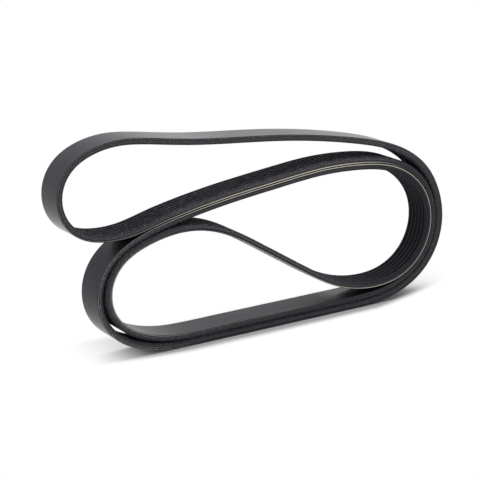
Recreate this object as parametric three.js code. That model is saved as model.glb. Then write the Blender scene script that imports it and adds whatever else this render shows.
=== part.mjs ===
// Multi-rib serpentine belt, folded into three loops and standing on its lowest strand.
// It is one endless band of rubber: smooth on its back, with V ribs along its other side.
// Its layers lie back to back along the middle strand, and rib to rib along the bottom.
// Millimetres, +Z up. X runs along the loops and Y across the belt's width. The origin is on the
// surface that the belt stands on, below the middle of its box.
import * as THREE from 'three';

// Section of the belt
const ribCount = 6;
const ribPitch = 3.56;
const ribHeight = 2.3;
const ribAngle = 40;
const grooveWidth = 0.7;
const beltThickness = 4.3;

// Air left between two layers that lie against each other
const layerGap = 0.3;

// The rubber is stiff, so each bend starts and ends gradually, over about this length
const bendSpread = 24;

// The loop at the right. Its end stands a little off the surface, and the S-bend's strand a little
// off the strand below it. The middle strand leaves it over a ridge.
const rightEndRadius = 41;
const rightEndReach = 137;
const rightEndLift = 2.8;
const sBendLift = 2.2;
const sBendRadius = 87.2;
const ridgeRise = 6.6;

// The loop at the upper left, from the middle strand up
const upperReach = 146.2;
const upperHeight = 63.6;
const upperEndRadius = 30;

// The loop at the lower left. Its inner layer keeps off the outer one's ribs.
const lowerReach = 122.2;
const lowerEndRadius = 36.3;
const innerEndSetback = 1.1;
const innerEndRise = 1.2;

// The bends that stand on the surface, or on the strand that lies on it
const footRadius = 69.3;
const heelRadius = 64.3;
const innerHeelRadius = 62.1;

// The belt's weight presses its lowest strand flat. What would lie lower than footPress is on the
// surface, and the flat ends where the belt starts to rise to footLift.
const footPress = 0.15;
const footLift = 0.8;

// The inner layer's arch, which leans its ribs on the strand over it
const archRadius = 69.9;
const archContact = 101.6;

// Looks, and how finely the bends are drawn. A straight stretch gets few stations, by its low weight.
const rubberColor = 0x2b2b2e;
const rubberRoughness = 0.72;
const stationCount = 190;
const straightWeight = 0.03;
const pathStep = 0.5;

// Lengths that follow from the section
const beltWidth = ribCount * ribPitch;
const ribRootWidth = ribPitch - grooveWidth;
const ribTipWidth = ribRootWidth - 2 * ribHeight * Math.tan(THREE.MathUtils.degToRad(ribAngle / 2));
const ribPair = 2 * beltThickness + layerGap;

// A bend is the roller that the belt would lie round. The smooth back of the innermost layer there
// touches it at x, z, and facing is the direction from the roller's centre to that point, in degrees
// from +X towards +Z.
function bend(x, z, facing, radius) {
  const angle = THREE.MathUtils.degToRad(facing);
  const toTouch = new THREE.Vector2(Math.cos(angle), Math.sin(angle));
  return { centre: new THREE.Vector2(x, z).addScaledVector(toTouch, -radius), radius };
}

const down = 270;
const rightEndBottom = rightEndLift + ribPair + layerGap;
const rightEnd = bend(rightEndReach, rightEndBottom + rightEndRadius, 0, rightEndRadius);

// The middle strand, from the right end to the upper left loop
const ridgeHeight = rightEndBottom + 2 * rightEndRadius + ridgeRise;
const upperBottomHeight = ridgeHeight - 22.9;
const brow = bend(rightEndReach - 38.6, ridgeHeight - 4.1, 75, 86.8);
const ridge = bend(rightEndReach - 86, ridgeHeight, 91, 162);
const slope = bend(-36, ridgeHeight - 9.7, 99, 600);
const upperBottom = bend(53 - upperReach, upperBottomHeight, 276, 39.4);

// The upper left loop and the top strand, down to the shoulder over the right end
const topHeight = upperBottomHeight + upperHeight;
const upperEndHeight = (topHeight + upperBottomHeight) / 2 - 4.8;
const upperEnd = bend(-upperReach, upperEndHeight, 186, upperEndRadius);
const upperTop = bend(43.2 - upperReach, topHeight, 92, 42.7);
const dip = bend(-47.5, topHeight - 7.9, 263, 320);
const crown = bend(48, topHeight - 18.6, 80, 561);
const shoulder = bend(rightEndReach - 16.4, ridgeHeight - 0.1, 55, 72.8);

// The lower left loop, the bottom and the S-bend
const bowHeight = ridgeHeight - 21.2;
const bow = bend(33.2 - lowerReach, bowHeight, 109, 119);
const lowerEnd = bend(-lowerReach, bowHeight / 2 - 1, 184, lowerEndRadius);
const heel = bend(54.7 - lowerReach, 0, down, heelRadius);
const innerHeel = bend(60.3 - lowerReach, ribPair, down, innerHeelRadius);
const foot = bend(rightEndReach - 53.6, 0, down, footRadius);
const sBend = bend(rightEndReach - 47.4, ribPair + layerGap + sBendLift, down, sBendRadius);

// The inner layer's end lies in the outer one's, moved off it
function setBack(outer, right, rise) {
  const centre = outer.centre.clone().add(new THREE.Vector2(right, rise));
  return { centre, radius: outer.radius };
}

// The arch touches the inside of the bow's ribs with its own at one place
function archUnder(outer, radius, facing) {
  const angle = THREE.MathUtils.degToRad(facing);
  const toTouch = new THREE.Vector2(Math.cos(angle), Math.sin(angle));
  const inset = outer.radius - ribPair - radius;
  return { centre: outer.centre.clone().addScaledVector(toTouch, inset), radius };
}

// The belt's course, from the top strand leftwards. ribsIn turns left round a bend with the ribs
// towards its centre, and ribsOut turns right with the ribs away from it. Where layers are nested,
// outward is how far this layer's back lies outside the bend.
const ribsIn = (at, outward = 0) => ({ centre: at.centre, radius: at.radius + outward });
const ribsOut = (at, outward = 0) => ({ centre: at.centre, radius: -(at.radius + outward) });
const course = [
  ribsIn(crown),
  ribsOut(dip),
  ribsIn(upperTop),
  ribsIn(upperEnd),
  ribsIn(upperBottom),
  ribsOut(slope, layerGap),
  ribsOut(ridge, layerGap),
  ribsOut(brow, layerGap),
  ribsOut(rightEnd, layerGap),
  ribsOut(foot, -ribPair),
  ribsOut(innerHeel),
  ribsOut(setBack(lowerEnd, innerEndSetback, innerEndRise), -ribPair),
  ribsOut(archUnder(bow, archRadius, archContact)),
  ribsIn(sBend),
  ribsIn(rightEnd),
  ribsIn(brow),
  ribsIn(ridge),
  ribsIn(slope),
  ribsIn(bow),
  ribsIn(lowerEnd),
  ribsIn(heel),
  ribsIn(foot),
  ribsIn(rightEnd, layerGap + ribPair),
  ribsIn(shoulder),
];

// Heading of the straight that leaves one bend and meets the next. Bends that lie inside each
// other have no such straight, and meet where they are closest.
function headingBetween(from, to) {
  const step = to.centre.clone().sub(from.centre);
  const swing = to.radius - from.radius;
  const run = Math.sqrt(Math.max(step.lengthSq() - swing * swing, 0));
  return Math.atan2(step.y, step.x) - Math.atan2(swing, run);
}

// The back's line round every bend, with arcs joined by their straights
function windCourse(stops) {
  const points = [];
  const headings = stops.map((stop, i) => headingBetween(stop, stops[(i + 1) % stops.length]));
  stops.forEach(({ centre, radius }, i) => {
    const start = headings.at(i - 1);
    const turn = THREE.MathUtils.euclideanModulo(headings[i] - start + Math.PI, 2 * Math.PI) - Math.PI;
    const steps = Math.max(1, Math.ceil(Math.abs(turn * radius) / pathStep));
    for (let k = 0; k <= steps; k += 1) {
      const heading = start + (turn * k) / steps;
      const outward = new THREE.Vector2(Math.sin(heading), -Math.cos(heading));
      points.push(centre.clone().addScaledVector(outward, radius));
    }
  });
  return points;
}

// The same closed line with its points at equal distances
function spaceEvenly(points) {
  const joined = [...points, points[0]];
  const reached = [0];
  for (let i = 1; i < joined.length; i += 1) {
    reached.push(reached[i - 1] + joined[i].distanceTo(joined[i - 1]));
  }
  const total = reached.at(-1);
  const count = Math.round(total / pathStep);
  const even = [];
  let i = 1;
  for (let k = 0; k < count; k += 1) {
    const distance = (total * k) / count;
    while (reached[i] < distance) i += 1;
    const share = (distance - reached[i - 1]) / (reached[i] - reached[i - 1] || 1);
    even.push(joined[i - 1].clone().lerp(joined[i], share));
  }
  return even;
}

// Each point becomes the mean of its neighbours over the given length, so bends start gradually
function average(points, length) {
  const reach = Math.round(length / pathStep / 2);
  const count = points.length;
  const sum = new THREE.Vector2();
  for (let k = -reach; k <= reach; k += 1) sum.add(points.at(k));
  return points.map((_, i) => {
    const mean = sum.clone().divideScalar(2 * reach + 1);
    sum.sub(points.at((i - reach) % count)).add(points[(i + reach + 1) % count]);
    return mean;
  });
}

// Direction of the belt's course at each point
function directions(points) {
  const count = points.length;
  return points.map((_, i) => points[(i + 1) % count].clone().sub(points.at(i - 1)).normalize());
}

// The strand that the belt stands on, pressed onto the surface up to where it has risen by footLift
function pressFlat(points) {
  const ground = Math.min(...points.map(({ y }) => y));
  const stretch = footLift / (footLift - footPress);
  return points.map(({ x, y }) => {
    const lift = y - ground;
    return new THREE.Vector2(x, lift < footLift ? Math.max(lift - footPress, 0) * stretch : lift);
  });
}

// Stations lie closer together the tighter the belt bends. The flat that it stands on has one at
// each end, and the next lies where the belt has risen by footLift, so that the flat ends clearly.
function chooseStations(points, count) {
  const ahead = directions(points);
  const need = ahead.map((way, i) => {
    const turn = Math.abs(way.cross(ahead[(i + 1) % ahead.length]));
    return Math.sqrt(turn / pathStep) + straightWeight;
  });
  const total = need.reduce((sum, value) => sum + value, 0);
  const chosen = [];
  let sum = 0;
  need.forEach((value, i) => {
    if (sum >= (total * chosen.length) / count && chosen.length < count) chosen.push(i);
    sum += value;
  });
  const low = [...points.keys()].filter((i) => points[i].y < footLift);
  const flat = low.filter((i) => points[i].y === 0);
  const raised = chosen.filter((i) => points[i].y > 2 * footLift);
  const kept = [...raised, low[0] - 1, flat[0], flat.at(-1), low.at(-1) + 1].sort((a, b) => a - b);
  return kept.map((i) => ({
    point: points[i],
    ribSide: new THREE.Vector2(-ahead[i].y, ahead[i].x),
  }));
}

// Outline of the section: across is along the width, depth runs from the smooth back to the ribs.
// The cut edges run through the bottom of a groove.
function sectionOutline() {
  const grooveDepth = beltThickness - ribHeight;
  const edge = beltWidth / 2;
  const outline = [
    new THREE.Vector2(edge, 0),
    new THREE.Vector2(-edge, 0),
    new THREE.Vector2(-edge, grooveDepth),
  ];
  for (let i = 0; i < ribCount; i += 1) {
    const middle = (i + 0.5) * ribPitch - edge;
    outline.push(new THREE.Vector2(middle - ribRootWidth / 2, grooveDepth));
    outline.push(new THREE.Vector2(middle - ribTipWidth / 2, beltThickness));
    outline.push(new THREE.Vector2(middle + ribTipWidth / 2, beltThickness));
    outline.push(new THREE.Vector2(middle + ribRootWidth / 2, grooveDepth));
  }
  outline.push(new THREE.Vector2(edge, grooveDepth));
  return outline;
}

// The section swept once round the closed course
function sweep(outline, stations) {
  const positions = [];
  stations.forEach(({ point, ribSide }) => {
    outline.forEach(({ x: across, y: depth }) => {
      const place = point.clone().addScaledVector(ribSide, depth);
      positions.push(place.x, across, place.y);
    });
  });
  const index = [];
  const size = outline.length;
  for (let i = 0; i < stations.length; i += 1) {
    const here = i * size;
    const next = ((i + 1) % stations.length) * size;
    for (let j = 0; j < size; j += 1) {
      const k = (j + 1) % size;
      index.push(here + j, next + k, here + k, here + j, next + j, next + k);
    }
  }
  const geometry = new THREE.BufferGeometry();
  geometry.setAttribute('position', new THREE.Float32BufferAttribute(positions, 3));
  geometry.setIndex(index);
  return geometry;
}

// The back's line, drawn round the bends, evened out twice and stood on the surface
function backLine() {
  const wound = spaceEvenly(windCourse(course));
  return pressFlat(average(average(wound, bendSpread), bendSpread));
}

function ribbedBelt() {
  const geometry = sweep(sectionOutline(), chooseStations(backLine(), stationCount));
  geometry.computeBoundingBox();
  const { min, max } = geometry.boundingBox;
  geometry.translate(-(min.x + max.x) / 2, 0, 0);
  geometry.computeVertexNormals();
  const rubber = new THREE.MeshStandardMaterial({
    color: rubberColor,
    roughness: rubberRoughness,
    metalness: 0,
  });
  const belt = new THREE.Mesh(geometry, rubber);
  belt.name = 'ribbed_belt';
  return belt;
}

const serpentineBelt = new THREE.Group();
serpentineBelt.add(ribbedBelt());

export default serpentineBelt;
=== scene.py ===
"""Looks of a multi-rib serpentine belt, folded into loops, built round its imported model.
Metres, +Z up, the belt's width along Y."""

import math

import bpy
import numpy as np
from mathutils import Matrix, Vector


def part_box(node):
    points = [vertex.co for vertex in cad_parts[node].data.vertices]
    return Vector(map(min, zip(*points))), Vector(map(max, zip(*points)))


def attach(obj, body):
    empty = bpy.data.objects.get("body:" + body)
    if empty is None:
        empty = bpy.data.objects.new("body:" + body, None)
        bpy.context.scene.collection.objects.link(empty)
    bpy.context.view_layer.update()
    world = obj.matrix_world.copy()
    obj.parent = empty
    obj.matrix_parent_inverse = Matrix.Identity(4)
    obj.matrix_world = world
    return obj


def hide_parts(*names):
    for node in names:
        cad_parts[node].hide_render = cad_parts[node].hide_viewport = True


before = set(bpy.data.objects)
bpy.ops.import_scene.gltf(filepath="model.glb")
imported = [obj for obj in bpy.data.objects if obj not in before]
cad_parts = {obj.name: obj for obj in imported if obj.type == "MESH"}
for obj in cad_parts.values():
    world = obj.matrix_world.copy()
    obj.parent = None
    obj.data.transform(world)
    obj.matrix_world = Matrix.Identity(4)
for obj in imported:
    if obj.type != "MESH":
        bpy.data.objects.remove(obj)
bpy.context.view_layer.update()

MM = 0.001

# Section of the belt, as in the solid. The grooves' floor is given by its depth from the smooth back.
RIB_COUNT = 6
RIB_PITCH = 3.56 * MM
RIB_HEIGHT = 2.3 * MM
RIB_ANGLE = math.radians(40)
GROOVE_WIDTH = 0.7 * MM
BELT_THICKNESS = 4.3 * MM
BELT_WIDTH = RIB_COUNT * RIB_PITCH
GROOVE_FLOOR = BELT_THICKNESS - RIB_HEIGHT

# How its corners are rounded, as a moulded and cut belt's are: radius and steps
CREST_ROUNDING = (0.35 * MM, 3)
ROOT_ROUNDING = (0.25 * MM, 2)
BACK_ROUNDING = (0.2 * MM, 2)
CUT_ROUNDING = (0.08 * MM, 1)

# How the course is read from the solid, and how finely the belt is drawn along it
SAME_PLANE = 0.01 * MM
PLACE_DIGITS = 6
STATIONS = 1050
FINE_STEP = 0.5 * MM
LONG_STRAIGHT = 40 * MM
STRAIGHT_STEP = 6 * MM
EVENING_LENGTH = 7 * MM

# The name under which the mesh keeps each corner's place along, across and deep
PLACE_NAME = "belt_place"

# The photograph's camera: where it looks, from how far and from which side. Its lens and sensor are in
# millimetres.
AIM = Vector((-18.6, -10.7, 63.6)) * MM
CAMERA_DISTANCE = 1058.6 * MM
CAMERA_AZIMUTH = math.radians(31.72)
CAMERA_ELEVATION = math.radians(16.59)
CAMERA_ROLL = math.radians(-0.98)
CAMERA_LENS = 125.15
SENSOR_WIDTH = 36
NEAREST_SEEN = 0.05
FURTHEST_SEEN = 20

# Light: an even room and one softbox above
WHITE = (1, 1, 1, 1)
ROOM_LIGHT = 0.36
SOFTBOX_PLACE = Vector((0.1, 0.2, 1.2))
SOFTBOX_TARGET = Vector((0, 0, 0.05))
SOFTBOX_SIZE = 1.1
SOFTBOX_POWER = 11

# Floor. The belt's shadow is kept in a strip as wide as the belt and a margin behind it, and fades to plain
# white from FADE_START to FADE_END outside it. The strip is about as long as the flat that the belt stands
# on. Past its ends it swings back, and the shadow fades more slowly.
FLOOR_SIZE = 12
FLOOR_GAP = 0.05 * MM
FLOOR_COLOUR = (0.9, 0.9, 0.9, 1)
STRIP_LEFT = -57 * MM
STRIP_RIGHT = 85 * MM
STRIP_MARGIN = 14 * MM
LEFT_SWING = 0.1
LEFT_FADE = 0.17
RIGHT_SWING = 0.26
RIGHT_FADE = 0.13
FADE_START = 3.5 * MM
FADE_END = 12 * MM
WHITE_AT_START = 0.02

# Noise in the materials. Scales below are per metre, for some patterns along, across and deep. A noise's
# values lie round NOISE_MIDDLE, and most of them in NOISE_SPAN.
NOISE_MIDDLE = 0.5
NOISE_SPAN = (0.3, 0.7)
PLAIN_DETAIL = 2
FINE_DETAIL = 3
PLAIN_ROUGHNESS = 0.5

# Smooth back
BACK_DARKEST = (0.0123, 0.0117, 0.0168, 1)
BACK_PALEST = (0.0208, 0.0199, 0.027, 1)
BACK_CLOUDS = 55
BACK_GRAIN = 2600
BACK_STREAKS = (25, 1500, 1500)
CLOUD_SHARE = 0.6
STREAK_SHARE = 0.4
BACK_ROUGHNESS = (0.1, 0.2)
DULL_ROUGHNESS = 0.3
BACK_RELIEF = 0.03 * MM
BACK_RELIEF_STRENGTH = 0.2
BACK_GLOSS = {"Specular IOR Level": 0.245, "Specular Tint": (0.84, 0.82, 1, 1)}

# Ribbed side
RIB_CREST = (0.03, 0.0288, 0.0355, 1)
BARE_GROOVE = (0.027, 0.026, 0.0315, 1)
# The next colour is painted light: grooves made paler, as where light from above falls into them
PAINTED_LIT_GROOVE = (0.115, 0.111, 0.13, 1)
FIBRE_COLOUR = (0.18, 0.176, 0.195, 1)
RIB_FIBRES = (1300, 1700, 1700)
FIBRE_ROUGHNESS = 0.6
RIB_CLOUDS = 300
RIB_CLOUD_SHARE = 0.3
FLECK_SPAN = (0.65, 0.8)
RIB_MARKS = (1800, 260, 260)
MARK_SHARE = 0.8
RIB_ROUGHNESS = (0.7, 0.9)
RIB_RELIEF = 0.06 * MM
RIB_RELIEF_STRENGTH = 0.8
RIB_GLOSS = {"Specular IOR Level": 0.2, "Specular Tint": (0.88, 0.86, 1, 1)}

# Cut edge, with depths from the smooth back
EDGE_DARKEST = (0.034, 0.033, 0.0375, 1)
EDGE_PALEST = (0.062, 0.06, 0.066, 1)
# The next two colours are painted light: the cut edge made paler, as where more light falls on it
LIT_EDGE_DARKEST = (0.1, 0.097, 0.102, 1)
LIT_EDGE_PALEST = (0.185, 0.181, 0.185, 1)
EDGE_GRAIN = 3000
GRAIN_ROUGHNESS = 0.65
GRAIN_SHARE = 0.5
EDGE_SCRAPES = (60, 2500, 5200)
SCRAPE_SHARE = 0.5
DUST_COLOUR = (0.5, 0.47, 0.41, 1)
DUST_SPECKS = 1100
DUST_SPAN = (0.52, 0.64)
DUST_STRENGTH = 0.7
# Painted shade along the back of the cut edge, as in the gap between layers; the seam shares its colour
SHADE_AND_SEAM_COLOUR = (0.004, 0.004, 0.005, 1)
BACK_SHADE_SPAN = (0.21 * MM, 0.3 * MM)
SEAM_DEPTH = 1.3 * MM
SEAM_SPAN = (0.18 * MM, 0.42 * MM)
SEAM_STRENGTH = 0.8
CORD_COLOUR = (0.95, 0.89, 0.77, 1)
CORD_DEPTH = 0.55 * MM
CORD_WIDTH = 0.72 * MM
CORD_EDGE = (-0.02 * MM, 0.1 * MM)
CORD_SWAY = 0.12 * MM
CORD_WAVES = (90, 0, 0)
CORD_TWIST = (1500, 0, 2500)
TWIST_SPAN = (0.25, 0.6)
TWIST_BRIGHTNESS = (0.65, 1)
EDGE_ROUGHNESS = 0.62
EDGE_RELIEF = 0.05 * MM
EDGE_RELIEF_STRENGTH = 0.7
EDGE_GLOSS = {"Specular IOR Level": 0.25}

# Wear and painted light along the belt, as (share of the length, strength) from its leftmost point on,
# the way that runs to +X on the lowest strand

# Where the back is duller
DULL_BACK = (
    (0.0, 0.1),
    (0.221, 0.0),
    (0.23, 0.95),
    (0.27, 0.9),
    (0.3, 0.6),
    (0.34, 0.4),
    (0.59, 0.0),
    (0.622, 0.0),
    (0.635, 0.95),
    (0.65, 0.7),
    (0.67, 0.0),
    (0.8, 0.35),
    (0.92, 0.42),
    (0.94, 0.2),
    (0.98, 0.75),
    (1.0, 0.25),
)

# How strongly the ribs' grooves are painted paler, as painted light, and how strongly the pale fibres show
GROOVE_LIGHT_AND_FIBRES = (
    (0.0, 0.7),
    (0.035, 0.7),
    (0.055, 1.0),
    (0.135, 1.0),
    (0.15, 0.4),
    (0.35, 0.5),
    (0.37, 1.0),
    (0.42, 1.0),
    (0.45, 0.1),
    (0.51, 0.0),
    (0.54, 0.5),
    (1.0, 0.6),
)

# Where the cut edge is painted paler, as painted light, and dusty
EDGE_LIGHT_AND_DUST = (
    (0.0, 0.38),
    (0.1, 0.2),
    (0.15, 0.0),
    (0.22, 0.0),
    (0.29, 0.5),
    (0.31, 1.0),
    (0.34, 0.7),
    (0.37, 0.0),
    (0.43, 0.0),
    (0.46, 0.2),
    (0.5, 0.05),
    (0.6, 0.0),
    (0.63, 0.9),
    (0.68, 1.0),
    (0.7, 0.0),
    (0.8, 0.0),
    (0.83, 0.2),
    (0.85, 0.38),
    (1.0, 0.38),
)

# How much of the tensile cord's width is laid bare on the cut edge
CORD_BARE = (
    (0.0, 0.0),
    (0.045, 0.3),
    (0.07, 0.85),
    (0.095, 1.0),
    (0.122, 1.0),
    (0.134, 0.5),
    (0.148, 0.0),
    (0.275, 0.0),
    (0.29, 0.12),
    (0.31, 0.35),
    (0.34, 0.35),
    (0.355, 0.12),
    (0.37, 0.0),
    (0.385, 0.45),
    (0.43, 0.5),
    (0.45, 0.6),
    (0.5, 0.6),
    (0.53, 0.8),
    (0.55, 0.8),
    (0.595, 0.65),
    (0.62, 0.2),
    (0.64, 0.0),
    (1.0, 0.0),
)


# The course of the belt's back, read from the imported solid

def front_edges_of_back(node):
    """The solid's edges where its smooth back meets the front cut edge, as pairs of (x, z) points.
    Only the back has triangles that reach from the front to the rear."""
    low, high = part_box(node.name)
    mesh = node.data
    mesh.calc_loop_triangles()
    edges = []
    for triangle in mesh.loop_triangles:
        corners = [mesh.vertices[i].co for i in triangle.vertices]
        front = [c for c in corners if c.y - low.y < SAME_PLANE]
        rear = [c for c in corners if high.y - c.y < SAME_PLANE]
        if len(front) == 2 and len(rear) == 1:
            edges.append([(round(c.x, PLACE_DIGITS), round(c.z, PLACE_DIGITS)) for c in front])
    return edges


def closed_course(edges):
    """The edges joined end to end, from the leftmost point on. The lowest strand lies on its back, so the
    course runs to +X there, which keeps the ribs on its left."""
    beside = {}
    for a, b in edges:
        beside.setdefault(a, []).append(b)
        beside.setdefault(b, []).append(a)
    start = edges[0][0]
    course = [start, beside[start][0]]
    while True:
        before, here = course[-2:]
        ahead = [p for p in beside[here] if p != before][0]
        if ahead == start:
            break
        course.append(ahead)
    course = np.array(course)
    lowest = int(course[:, 1].argmin())
    heading = course[(lowest + 1) % len(course)] - course[lowest - 1]
    if heading[0] < 0:
        course = course[::-1]
    return np.roll(course, -int(course[:, 0].argmin()), axis=0)


def spaced_evenly(course, count):
    """Points at equal distances along the closed course."""
    closed = np.vstack([course, course[:1]])
    steps = np.linalg.norm(np.diff(closed, axis=0), axis=1)
    reached = np.concatenate([[0], np.cumsum(steps)])
    wanted = np.linspace(0, reached[-1], count, endpoint=False)
    return np.column_stack([np.interp(wanted, reached, closed[:, k]) for k in (0, 1)])


def with_straights_kept(course):
    """The course with points added along its long straights, as on the flat that the belt stands on."""
    split = []
    for start, end in zip(course, np.roll(course, -1, axis=0)):
        gap = np.linalg.norm(end - start)
        count = math.ceil(gap / STRAIGHT_STEP) if gap > LONG_STRAIGHT else 1
        split.append(start + (end - start) * np.arange(count)[:, None] / count)
    return np.vstack(split)


def rounded_course(course, step):
    """The course as a smooth curve through its points, with tangents from both neighbours."""
    before, after = np.roll(course, 1, axis=0), np.roll(course, -1, axis=0)
    gap_before = np.linalg.norm(course - before, axis=1)[:, None]
    gap_after = np.linalg.norm(after - course, axis=1)[:, None]
    slope = (course - before) / gap_before * gap_after + (after - course) / gap_after * gap_before
    slope /= gap_before + gap_after
    curve = []
    for i, gap in enumerate(gap_after[:, 0]):
        t = np.linspace(0, 1, max(2, math.ceil(gap / step)), endpoint=False)[:, None]
        start, end = course[i], after[i]
        start_slope, end_slope = slope[i] * gap, slope[(i + 1) % len(course)] * gap
        curve.append(
            (2 * t**3 - 3 * t**2 + 1) * start
            + (t**3 - 2 * t**2 + t) * start_slope
            + (3 * t**2 - 2 * t**3) * end
            + (t**3 - t**2) * end_slope
        )
    return np.vstack(curve)


def evened(course, length, step):
    """Each point becomes the mean of its neighbours, which takes the last flats out of the bends."""
    reach = round(length / step / 2)
    neighbours = range(-reach, reach + 1)
    return sum(np.roll(course, k, axis=0) for k in neighbours) / len(neighbours)


def belt_course(node):
    """Places of the stations along the back, directions towards the ribs there, and the belt's length."""
    course = closed_course(front_edges_of_back(node))
    curve = rounded_course(with_straights_kept(course), FINE_STEP)
    # The smooth curve may not dip below the flat that the belt stands on
    curve[:, 1] = np.maximum(curve[:, 1], course[:, 1].min())
    length = np.linalg.norm(curve - np.roll(curve, 1, axis=0), axis=1).sum()
    fine = evened(spaced_evenly(curve, round(length / FINE_STEP)), EVENING_LENGTH, FINE_STEP)
    places = spaced_evenly(fine, STATIONS)
    ahead = np.roll(places, -1, axis=0) - np.roll(places, 1, axis=0)
    ahead /= np.linalg.norm(ahead, axis=1)[:, None]
    rib_side = np.column_stack([-ahead[:, 1], ahead[:, 0]])
    return places, rib_side, length


# The section: across runs along the width, depth from the smooth back to the ribs' crests

BACK, EDGE, RIBS = range(3)


def section_corners():
    """Corners of the section: across, depth, rounding, and zone of the face after each."""
    edge = BELT_WIDTH / 2
    root = (RIB_PITCH - GROOVE_WIDTH) / 2
    tip = root - RIB_HEIGHT * math.tan(RIB_ANGLE / 2)
    corners = [
        (edge, 0, BACK_ROUNDING, BACK),
        (-edge, 0, BACK_ROUNDING, EDGE),
        (-edge, GROOVE_FLOOR, CUT_ROUNDING, RIBS),
    ]
    for i in range(RIB_COUNT):
        middle = (i + 0.5) * RIB_PITCH - edge
        corners += [
            (middle - root, GROOVE_FLOOR, ROOT_ROUNDING, RIBS),
            (middle - tip, BELT_THICKNESS, CREST_ROUNDING, RIBS),
            (middle + tip, BELT_THICKNESS, CREST_ROUNDING, RIBS),
            (middle + root, GROOVE_FLOOR, ROOT_ROUNDING, RIBS),
        ]
    return [*corners, (edge, GROOVE_FLOOR, CUT_ROUNDING, EDGE)]


def rounded_section():
    """Points of the section, its outward directions there, and the zone of the face after each point.
    The corners are listed clockwise, with across to the right and depth up."""
    corners = section_corners()
    points, outward, zones = [], [], []
    for i, (across, depth, (radius, steps), zone_after) in enumerate(corners):
        here = Vector((across, depth))
        zone_before = corners[i - 1][3]
        back = (Vector(corners[i - 1][:2]) - here).normalized()
        on = (Vector(corners[(i + 1) % len(corners)][:2]) - here).normalized()
        half = back.angle(on) / 2
        centre = here + (back + on).normalized() * (radius / math.sin(half))
        reach = radius / math.tan(half)
        first, last = here + back * reach - centre, here + on * reach - centre
        solid_side = 1 if back.cross(on) > 0 else -1
        for k in range(steps + 1):
            spoke = first.lerp(last, k / steps).normalized()
            points.append(centre + spoke * radius)
            outward.append(spoke * solid_side)
            zones.append(zone_before if k < steps / 2 else zone_after)
    return np.array(points), np.array(outward), zones


def swept(places, rib_side, across, depth):
    """Each section point carried to each station. With all places at 0, a direction is carried."""
    x = places[:, :1] + rib_side[:, :1] * depth
    z = places[:, 1:] + rib_side[:, 1:] * depth
    y = np.broadcast_to(across, x.shape)
    return np.stack([x, y, z], axis=-1).reshape(-1, 3)


def make_belt(name, places, rib_side, length, materials):
    """The belt as one closed mesh, with its place along, across and deep kept for the materials."""
    section, outward, zones = rounded_section()
    size = len(section)
    points = swept(places, rib_side, section[:, 0], section[:, 1])
    normals = swept(np.zeros_like(places), rib_side, outward[:, 0], outward[:, 1])

    here, j = np.divmod(np.arange(STATIONS * size), size)
    after, k = (here + 1) % STATIONS, (j + 1) % size
    corners = [here * size + j, after * size + j, after * size + k, here * size + k]
    faces = np.stack(corners, axis=1)

    mesh = bpy.data.meshes.new(name)
    mesh.from_pydata(points, [], faces)
    mesh.polygons.foreach_set("use_smooth", np.ones(len(faces), bool))
    mesh.polygons.foreach_set("material_index", np.array(zones, np.int32)[j])

    along = np.arange(STATIONS + 1) * length / STATIONS
    corner_along = np.stack([along[here], along[here + 1], along[here + 1], along[here]], axis=1)
    corner_section = section[np.stack([j, j, k, k], axis=1)]
    place = np.concatenate([corner_along[:, :, None], corner_section], axis=2)
    kept = mesh.attributes.new(PLACE_NAME, "FLOAT_VECTOR", "CORNER")
    kept.data.foreach_set("vector", place.astype(np.float32).ravel())
    mesh.normals_split_custom_set_from_vertices(normals)

    for material in materials:
        mesh.materials.append(material)
    belt = bpy.data.objects.new(name, mesh)
    bpy.context.scene.collection.objects.link(belt)
    return belt


# Small helpers for node trees

# The Mix node's sockets when it mixes colours
MIX_SHARE, MIX_FIRST, MIX_SECOND, MIX_RESULT = 0, 6, 7, 2


def new_material(name):
    material = bpy.data.materials.new(name)
    material.use_nodes = True
    material.node_tree.nodes.clear()
    return material, material.node_tree


def add(tree, kind, inputs=None, **settings):
    """A node with its settings made and its inputs set or linked. Returns the node."""
    made = tree.nodes.new(kind)
    for key, value in settings.items():
        setattr(made, key, value)
    for key, value in (inputs or {}).items():
        if isinstance(value, bpy.types.NodeSocket):
            tree.links.new(value, made.inputs[key])
        else:
            made.inputs[key].default_value = value
    return made


def calc(tree, operation, *values):
    return add(tree, "ShaderNodeMath", dict(enumerate(values)), operation=operation).outputs[0]


def weighted(tree, *terms):
    """Sum of the given (value, weight) terms."""
    total = 0
    for value, weight in terms:
        total = calc(tree, "MULTIPLY_ADD", value, weight, total)
    return total


def apart(tree, value, other):
    return calc(tree, "ABSOLUTE", calc(tree, "SUBTRACT", value, other))


def past(tree, value, limit):
    """By how much value is above limit, or 0 where it isn't."""
    return calc(tree, "MAXIMUM", calc(tree, "SUBTRACT", value, limit), 0)


def between(tree, value, span, low=0, high=1):
    """value mapped smoothly from span to low..high, and held outside."""
    inputs = {"Value": value, "From Min": span[0], "From Max": span[1], "To Min": low, "To Max": high}
    return add(tree, "ShaderNodeMapRange", inputs, interpolation_type="SMOOTHSTEP").outputs["Result"]


def mix_colour(tree, share, first, second):
    inputs = {MIX_SHARE: share, MIX_FIRST: first, MIX_SECOND: second}
    return add(tree, "ShaderNodeMix", inputs, data_type="RGBA").outputs[MIX_RESULT]


def ramp(tree, share, stops):
    """Strength that runs through the given (share, strength) stops."""
    made = add(tree, "ShaderNodeValToRGB", {"Fac": share})
    kept = made.color_ramp.elements
    while len(kept) < len(stops):
        # Stops start at the middle and are placed below
        kept.new(0.5)
    for stop, (position, strength) in zip(kept, stops):
        stop.position = position
        stop.color = (strength, strength, strength, 1)
    return made.outputs["Color"]


def noise(tree, place, scale, detail=PLAIN_DETAIL, roughness=PLAIN_ROUGHNESS):
    inputs = {"Vector": place, "Scale": scale, "Detail": detail, "Roughness": roughness}
    return add(tree, "ShaderNodeTexNoise", inputs).outputs["Fac"]


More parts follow.
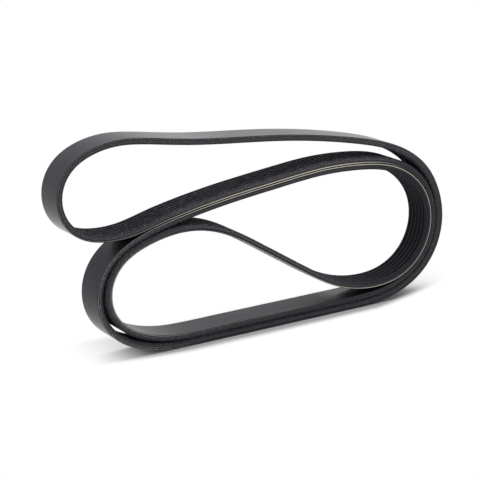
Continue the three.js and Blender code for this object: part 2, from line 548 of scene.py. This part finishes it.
def stretched_noise(tree, place, scales, detail=PLAIN_DETAIL, roughness=PLAIN_ROUGHNESS):
    """Noise with a scale of its own along, across and deep."""
    scaled = add(tree, "ShaderNodeVectorMath", {0: place, 1: scales}, operation="MULTIPLY").outputs[0]
    return noise(tree, scaled, 1, detail, roughness)


def belt_place(tree, length):
    """Place on the belt as a vector, then its share of the length and its depth from the back."""
    place = add(tree, "ShaderNodeAttribute", attribute_name=PLACE_NAME).outputs["Vector"]
    along, _, depth = add(tree, "ShaderNodeSeparateXYZ", {0: place}).outputs
    return place, calc(tree, "DIVIDE", along, length), depth


def bumped(tree, height, distance, strength):
    inputs = {"Height": height, "Distance": distance, "Strength": strength}
    return add(tree, "ShaderNodeBump", inputs).outputs["Normal"]


def finish_material(tree, colour, roughness, normal, gloss):
    inputs = {"Base Color": colour, "Roughness": roughness, "Normal": normal, **gloss}
    shader = add(tree, "ShaderNodeBsdfPrincipled", inputs)
    add(tree, "ShaderNodeOutputMaterial", {"Surface": shader.outputs[0]})


# Materials of the belt

def back_rubber(length):
    """Smooth back: satin charcoal with a trace of violet, fine grain and faint streaks along the belt.
    It is duller in the places that DULL_BACK gives."""
    material, tree = new_material("belt_back")
    place, share, _ = belt_place(tree, length)
    cloud = noise(tree, place, BACK_CLOUDS, FINE_DETAIL)
    grain = noise(tree, place, BACK_GRAIN)
    streak = stretched_noise(tree, place, BACK_STREAKS, FINE_DETAIL)
    tone = between(tree, weighted(tree, (cloud, CLOUD_SHARE), (streak, STREAK_SHARE)), NOISE_SPAN)
    colour = mix_colour(tree, tone, BACK_DARKEST, BACK_PALEST)
    satin = between(tree, streak, NOISE_SPAN, *BACK_ROUGHNESS)
    roughness = weighted(tree, (satin, 1), (ramp(tree, share, DULL_BACK), DULL_ROUGHNESS))
    normal = bumped(tree, grain, BACK_RELIEF, BACK_RELIEF_STRENGTH)
    finish_material(tree, colour, roughness, normal, BACK_GLOSS)
    return material


def rib_rubber(length):
    """Ribbed side: matte black with short pale fibres. In places the grooves are painted paler, as painted
    light falling into them, and the fibres show more there.
    """
    material, tree = new_material("belt_ribs")
    place, share, depth = belt_place(tree, length)
    fibres = stretched_noise(tree, place, RIB_FIBRES, FINE_DETAIL, FIBRE_ROUGHNESS)
    marks = stretched_noise(tree, place, RIB_MARKS)
    cloud = noise(tree, place, RIB_CLOUDS, FINE_DETAIL)
    light_and_fibres = ramp(tree, share, GROOVE_LIGHT_AND_FIBRES)
    height = between(tree, depth, (GROOVE_FLOOR, BELT_THICKNESS))
    # Painted light: grooves made paler along the belt, as where light falls into them
    groove = mix_colour(tree, light_and_fibres, BARE_GROOVE, PAINTED_LIT_GROOVE)
    plain = mix_colour(tree, height, groove, RIB_CREST)
    fleck = between(tree, weighted(tree, (fibres, 1), (cloud, RIB_CLOUD_SHARE)), FLECK_SPAN)
    colour = mix_colour(tree, calc(tree, "MULTIPLY", fleck, light_and_fibres), plain, FIBRE_COLOUR)
    relief = weighted(tree, (fibres, 1), (marks, MARK_SHARE))
    normal = bumped(tree, relief, RIB_RELIEF, RIB_RELIEF_STRENGTH)
    roughness = between(tree, marks, NOISE_SPAN, *RIB_ROUGHNESS)
    finish_material(tree, colour, roughness, normal, RIB_GLOSS)
    return material


def lit_and_dusty_edge(tree, place, share, tone):
    """Colour of the cut edge's rubber, painted paler in places as painted light, and dusty there."""
    spread = between(tree, tone, NOISE_SPAN)
    plain = mix_colour(tree, spread, EDGE_DARKEST, EDGE_PALEST)
    lit_rubber = mix_colour(tree, spread, LIT_EDGE_DARKEST, LIT_EDGE_PALEST)
    # Painted light: the edge made paler in places along the belt, with dust specks there
    light_and_dust = ramp(tree, share, EDGE_LIGHT_AND_DUST)
    specks = between(tree, noise(tree, place, DUST_SPECKS), DUST_SPAN, 0, DUST_STRENGTH)
    rubber = mix_colour(tree, light_and_dust, plain, lit_rubber)
    return mix_colour(tree, calc(tree, "MULTIPLY", specks, light_and_dust), rubber, DUST_COLOUR)


def cord_strength(tree, place, share, depth):
    """How strongly the tensile cord shows: a swaying, twisted line as wide as CORD_BARE lays it bare."""
    swaying = calc(tree, "SUBTRACT", stretched_noise(tree, place, CORD_WAVES), NOISE_MIDDLE)
    off_line = apart(tree, weighted(tree, (swaying, CORD_SWAY), (depth, 1)), CORD_DEPTH)
    half_bared = calc(tree, "MULTIPLY", ramp(tree, share, CORD_BARE), CORD_WIDTH / 2)
    line = between(tree, calc(tree, "SUBTRACT", half_bared, off_line), CORD_EDGE)
    twist = between(tree, stretched_noise(tree, place, CORD_TWIST), TWIST_SPAN, *TWIST_BRIGHTNESS)
    return calc(tree, "MULTIPLY", line, twist)


def cut_rubber(length):
    """Cut edge: dark grey rubber with a band of painted shade along the back, as in the gap between layers
    that lie back to back, the pale tensile cord beside it, and a dark seam where the ribs' rubber begins."""
    material, tree = new_material("belt_cut_edge")
    place, share, depth = belt_place(tree, length)
    grain = noise(tree, place, EDGE_GRAIN, FINE_DETAIL, GRAIN_ROUGHNESS)
    scrape = stretched_noise(tree, place, EDGE_SCRAPES, FINE_DETAIL)
    tone = weighted(tree, (grain, GRAIN_SHARE), (scrape, SCRAPE_SHARE))
    colour = lit_and_dusty_edge(tree, place, share, tone)
    # Painted shade: a near-black band along the back, as in the gap between layers that lie back to back
    colour = mix_colour(tree, between(tree, depth, BACK_SHADE_SPAN), SHADE_AND_SEAM_COLOUR, colour)
    seam = between(tree, apart(tree, depth, SEAM_DEPTH), SEAM_SPAN, SEAM_STRENGTH, 0)
    colour = mix_colour(tree, seam, colour, SHADE_AND_SEAM_COLOUR)
    colour = mix_colour(tree, cord_strength(tree, place, share, depth), colour, CORD_COLOUR)
    normal = bumped(tree, tone, EDGE_RELIEF, EDGE_RELIEF_STRENGTH)
    finish_material(tree, colour, EDGE_ROUGHNESS, normal, EDGE_GLOSS)
    return material


# Floor, light and camera

def seen_plainly(tree):
    """1 for rays from the camera, in gloss and through clear things, and 0 for those that carry light."""
    path = add(tree, "ShaderNodeLightPath").outputs
    gloss_or_clear = calc(tree, "MAXIMUM", path["Is Glossy Ray"], path["Is Transmission Ray"])
    return calc(tree, "MAXIMUM", path["Is Camera Ray"], gloss_or_clear)


def distance_from_strip(tree):
    """How far a place on the floor lies outside the strip in which the belt's shadow is kept, with less
    counted past its ends."""
    position = add(tree, "ShaderNodeNewGeometry").outputs["Position"]
    x, y, _ = add(tree, "ShaderNodeSeparateXYZ", {0: position}).outputs
    past_left = past(tree, STRIP_LEFT, x)
    past_right = past(tree, x, STRIP_RIGHT)
    past_end = weighted(tree, (past_left, LEFT_FADE), (past_right, RIGHT_FADE))
    swing = weighted(tree, (past_left, LEFT_SWING), (past_right, RIGHT_SWING))
    middle = calc(tree, "ADD", swing, STRIP_MARGIN / 2)
    past_side = past(tree, apart(tree, y, middle), (BELT_WIDTH + STRIP_MARGIN) / 2)
    squares = calc(tree, "ADD", calc(tree, "POWER", past_end, 2), calc(tree, "POWER", past_side, 2))
    return calc(tree, "SQRT", squares)


def make_floor():
    """A white floor that keeps the belt's shadow near it. To the camera and in gloss it turns plain
    white further off, as the photograph's ground does."""
    material, tree = new_material("floor_white")
    fade = between(tree, distance_from_strip(tree), (FADE_START, FADE_END), WHITE_AT_START, 1)
    share = calc(tree, "MULTIPLY", seen_plainly(tree), fade)
    paint = add(tree, "ShaderNodeBsdfDiffuse", {"Color": FLOOR_COLOUR}).outputs[0]
    white = add(tree, "ShaderNodeEmission", {"Color": WHITE, "Strength": 1}).outputs[0]
    both = add(tree, "ShaderNodeMixShader", {0: share, 1: paint, 2: white}).outputs[0]
    add(tree, "ShaderNodeOutputMaterial", {"Surface": both})
    bpy.ops.mesh.primitive_plane_add(size=FLOOR_SIZE, location=(0, 0, -FLOOR_GAP))
    floor = bpy.context.object
    floor.name = "floor"
    floor.data.materials.append(material)


def make_world():
    """Even white surroundings, plain white where they are seen."""
    world = bpy.data.worlds.new("white_room")
    world.use_nodes = True
    tree = world.node_tree
    tree.nodes.clear()
    strength = between(tree, seen_plainly(tree), (0, 1), ROOM_LIGHT, 1)
    background = add(tree, "ShaderNodeBackground", {"Color": WHITE, "Strength": strength})
    add(tree, "ShaderNodeOutputWorld", {"Surface": background.outputs[0]})
    bpy.context.scene.world = world


def make_softbox():
    """A large soft lamp above, which doesn't show in gloss."""
    light = bpy.data.lights.new("softbox_above", "AREA")
    light.shape = "SQUARE"
    light.size = SOFTBOX_SIZE
    light.energy = SOFTBOX_POWER
    lamp = bpy.data.objects.new("softbox_above", light)
    bpy.context.scene.collection.objects.link(lamp)
    lamp.location = SOFTBOX_PLACE
    lamp.visible_glossy = False
    lamp.rotation_euler = (SOFTBOX_TARGET - SOFTBOX_PLACE).to_track_quat("-Z", "Y").to_euler()


def make_camera():
    """The photograph's view: the camera looks at AIM from the front left, and a little down."""
    camera = bpy.data.cameras.new("camera")
    camera.sensor_width = SENSOR_WIDTH
    camera.lens = CAMERA_LENS
    camera.clip_start = NEAREST_SEEN
    camera.clip_end = FURTHEST_SEEN
    look = Vector((
        math.sin(CAMERA_AZIMUTH) * math.cos(CAMERA_ELEVATION),
        math.cos(CAMERA_AZIMUTH) * math.cos(CAMERA_ELEVATION),
        -math.sin(CAMERA_ELEVATION),
    ))
    seat = bpy.data.objects.new("camera", camera)
    bpy.context.scene.collection.objects.link(seat)
    turn = look.to_track_quat("-Z", "Y").to_matrix() @ Matrix.Rotation(CAMERA_ROLL, 3, "Z")
    seat.matrix_world = Matrix.Translation(AIM - look * CAMERA_DISTANCE) @ turn.to_4x4()
    bpy.context.scene.camera = seat


make_camera()
make_world()
make_floor()
make_softbox()

places, rib_side, length = belt_course(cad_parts["ribbed_belt"])
# In the order of BACK, EDGE, RIBS
rubbers = [back_rubber(length), cut_rubber(length), rib_rubber(length)]
belt = make_belt("serpentine_belt", places, rib_side, length, rubbers)
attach(belt, "root")
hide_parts("ribbed_belt")

scene = bpy.context.scene
scene.view_settings.view_transform = "Standard"
